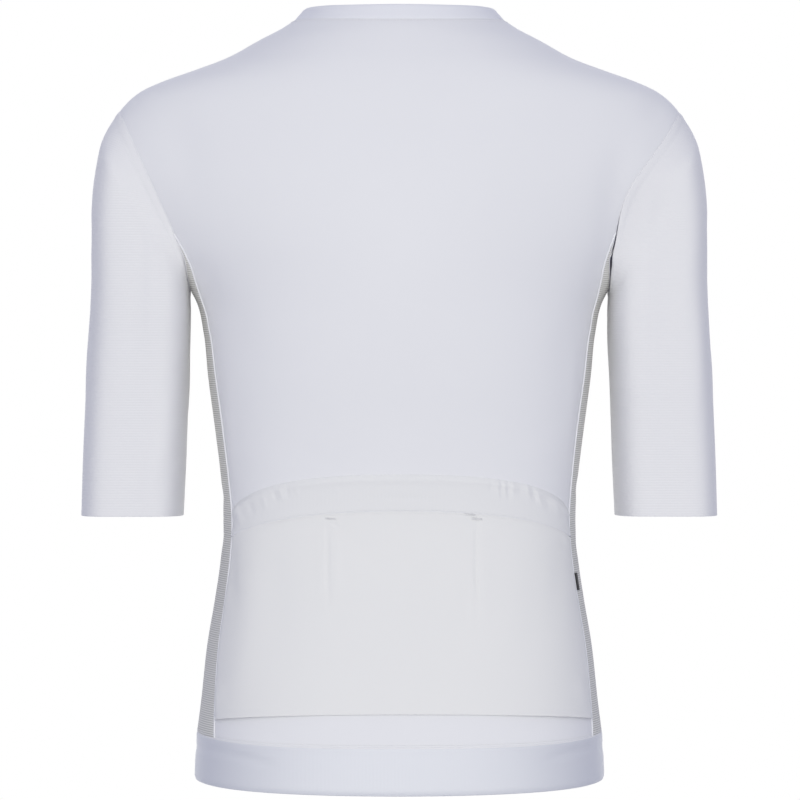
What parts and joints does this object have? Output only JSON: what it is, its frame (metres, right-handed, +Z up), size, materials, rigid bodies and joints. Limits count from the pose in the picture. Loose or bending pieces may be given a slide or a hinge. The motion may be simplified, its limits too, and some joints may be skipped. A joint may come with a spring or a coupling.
{
  "type": "cycling jersey",
  "caption": "Short-sleeved race-cut cycling jersey, filled out as worn, with rear pocket, low collar, mesh side panels and a wide elastic hem.",
  "frame": {"origin": "between the shoulders, level with the base of the neck, where the wearer carries the jersey", "axes": "+Z up, +X to the wearer's left, -Y to the front of the jersey, +Y to its back"},
  "size_m": [0.5476, 0.2326, 0.6665],
  "materials": {
    "white_knit": "fine smooth polyester knit, matte with a soft sheen at the edges",
    "white_elastic": "dense elastic knit, a little cooler and smoother than the body",
    "grey_mesh": "light grey mesh with fine level ribs",
    "black_tape": "plain black woven tape",
    "white_zip": "white woven zip tape with a fine moulded coil",
    "zip_metal": "satin"
  },
  "bodies": {
    "garment": {"back": "white_knit", "front_left": "white_knit", "front_right": "white_knit", "side_left": "grey_mesh", "side_right": "grey_mesh", "sleeve_left": "white_knit", "sleeve_right": "white_knit", "collar": "white_elastic", "hem_band": "white_elastic", "pocket_panel": "white_knit", "pocket_band": "white_elastic", "side_tab": "black_tape", "zip_tape_left": "white_zip", "zip_tape_right": "white_zip", "zip_slider": "zip_metal"},
    "pull": {"zip_pull": "zip_metal"}
  },
  "joints": [
    {"name": "zip_pull_swing", "type": "hinge", "parent": "garment", "child": "pull", "pos_m": [0, -0.06924, -0.03912], "axis": [-1, 0, 0], "range_deg": [0, 150]}
  ]
}
